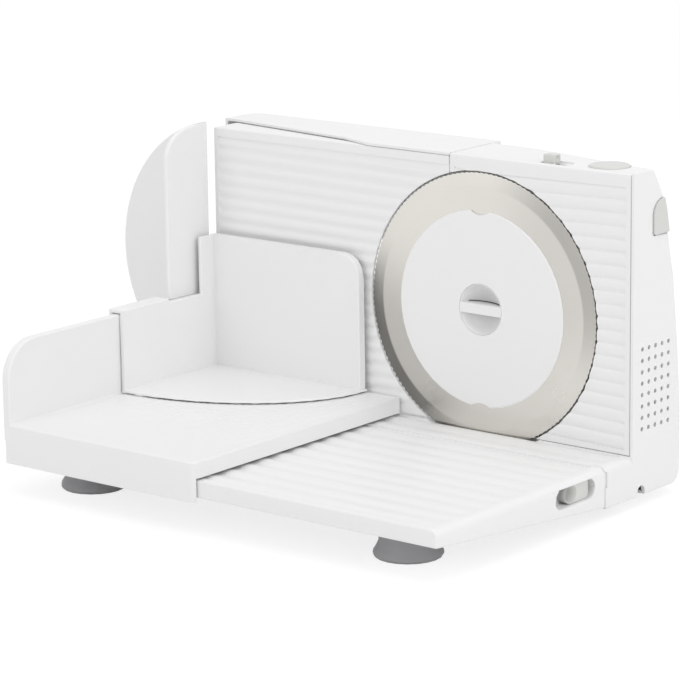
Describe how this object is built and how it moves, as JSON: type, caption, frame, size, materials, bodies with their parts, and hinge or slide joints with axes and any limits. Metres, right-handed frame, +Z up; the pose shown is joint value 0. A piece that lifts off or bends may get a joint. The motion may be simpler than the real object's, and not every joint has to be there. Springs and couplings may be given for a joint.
{
  "type": "food slicer",
  "caption": "Domestic food slicer: serrated disc blade in a ribbed upright face, sliding carriage with pusher and thumb guard over a wedge table.",
  "frame": {"origin": "middle of the bounding box, on the surface that the slicer stands on", "axes": "+X along the blade's face towards the housing with the controls, +Y from the blade's face towards the back, +Z up"},
  "size_m": [0.4012, 0.2668, 0.208],
  "materials": {
    "white_abs": "satin moulded",
    "white_gloss": "gloss moulded",
    "pale_grey": "satin moulded",
    "dark_rubber": "matt",
    "dark_plastic": "satin moulded",
    "blade_steel": "ground stainless steel",
    "bright_steel": "turned steel",
    "motor_steel": "drawn steel can",
    "gear_nylon": "moulded nylon",
    "bush_brass": "turned"
  },
  "bodies": {
    "housing": {"motor_housing": "white_abs", "front_panel": "white_abs", "bottom_cover": "white_abs", "rear_arm": "white_abs", "folding_table": "white_abs", "hinge_pin_left": "bright_steel", "hinge_pin_right": "bright_steel", "foot_front_left": "dark_rubber", "foot_front_right": "dark_rubber", "foot_rear_left": "dark_rubber", "foot_rear_right": "dark_rubber", "drive_motor": "motor_steel", "motor_bracket": "bright_steel", "front_bush": "bush_brass", "rear_bush": "bush_brass", "switch_body": "dark_plastic", "safety_switch": "dark_plastic"},
    "blade_set": {"blade": "blade_steel", "hub_cover": "white_gloss", "blade_shaft": "bright_steel", "worm_wheel": "gear_nylon"},
    "hub_lock": {"lock_knob": "white_gloss"},
    "worm": {"motor_worm": "bright_steel"},
    "carriage": {"carriage_tray": "white_abs", "thumb_guard": "white_abs"},
    "pusher": {"pusher": "white_abs"},
    "gauge": {"gauge_plate": "white_abs", "gauge_rod_left": "bright_steel", "gauge_rod_right": "bright_steel"},
    "thickness": {"thickness_knob": "pale_grey", "gauge_cam": "gear_nylon"},
    "run_button": {"push_button": "pale_grey"},
    "power_slide": {"slide_switch": "pale_grey"},
    "side_button": {"safety_button": "pale_grey"},
    "fold_lock": {"table_lock": "pale_grey"}
  },
  "joints": [
    {"name": "blade_spin", "type": "hinge", "parent": "housing", "child": "blade_set", "pos_m": [0.0874, 0.0641, 0.108], "axis": [0, 1, 0], "continuous": true},
    {"name": "worm_spin", "type": "hinge", "parent": "housing", "child": "worm", "pos_m": [0.0874, 0.0946, 0.07272], "axis": [1, 0, 0], "continuous": true},
    {"name": "hub_lock_turn", "type": "hinge", "parent": "blade_set", "child": "hub_lock", "pos_m": [0.0874, 0.0641, 0.108], "axis": [0, 1, 0], "range_deg": [0, 90]},
    {"name": "carriage_slide", "type": "slide", "parent": "housing", "child": "carriage", "axis": [1, 0, 0], "range_m": [0, 0.165]},
    {"name": "pusher_slide", "type": "slide", "parent": "carriage", "child": "pusher", "axis": [0, -1, 0], "range_m": [0, 0.072]},
    {"name": "thickness_turn", "type": "hinge", "parent": "housing", "child": "thickness", "pos_m": [-0.0657, 0.1171, 0.166], "axis": [0, 1, 0], "range_deg": [0, 300]},
    {"name": "gauge_slide", "type": "slide", "parent": "housing", "child": "gauge", "axis": [0, 1, 0], "range_m": [0, 0.015]},
    {"name": "run_button_press", "type": "slide", "parent": "housing", "child": "run_button", "axis": [0, 0, -1], "range_m": [0, 0.003], "stiffness_N_per_m": 600},
    {"name": "power_slide_move", "type": "slide", "parent": "housing", "child": "power_slide", "axis": [1, 0, 0], "range_m": [0, 0.008]},
    {"name": "side_button_press", "type": "slide", "parent": "housing", "child": "side_button", "axis": [-1, 0, 0], "range_m": [0, 0.003], "stiffness_N_per_m": 600},
    {"name": "fold_lock_move", "type": "slide", "parent": "housing", "child": "fold_lock", "axis": [0, -1, 0], "range_m": [0, 0.012]}
  ],
  "couplings": [
    {"joint": "worm_spin", "follows": "blade_spin", "ratio": -46},
    {"joint": "gauge_slide", "follows": "thickness_turn", "m_per_rad": 0.0028648}
  ]
}
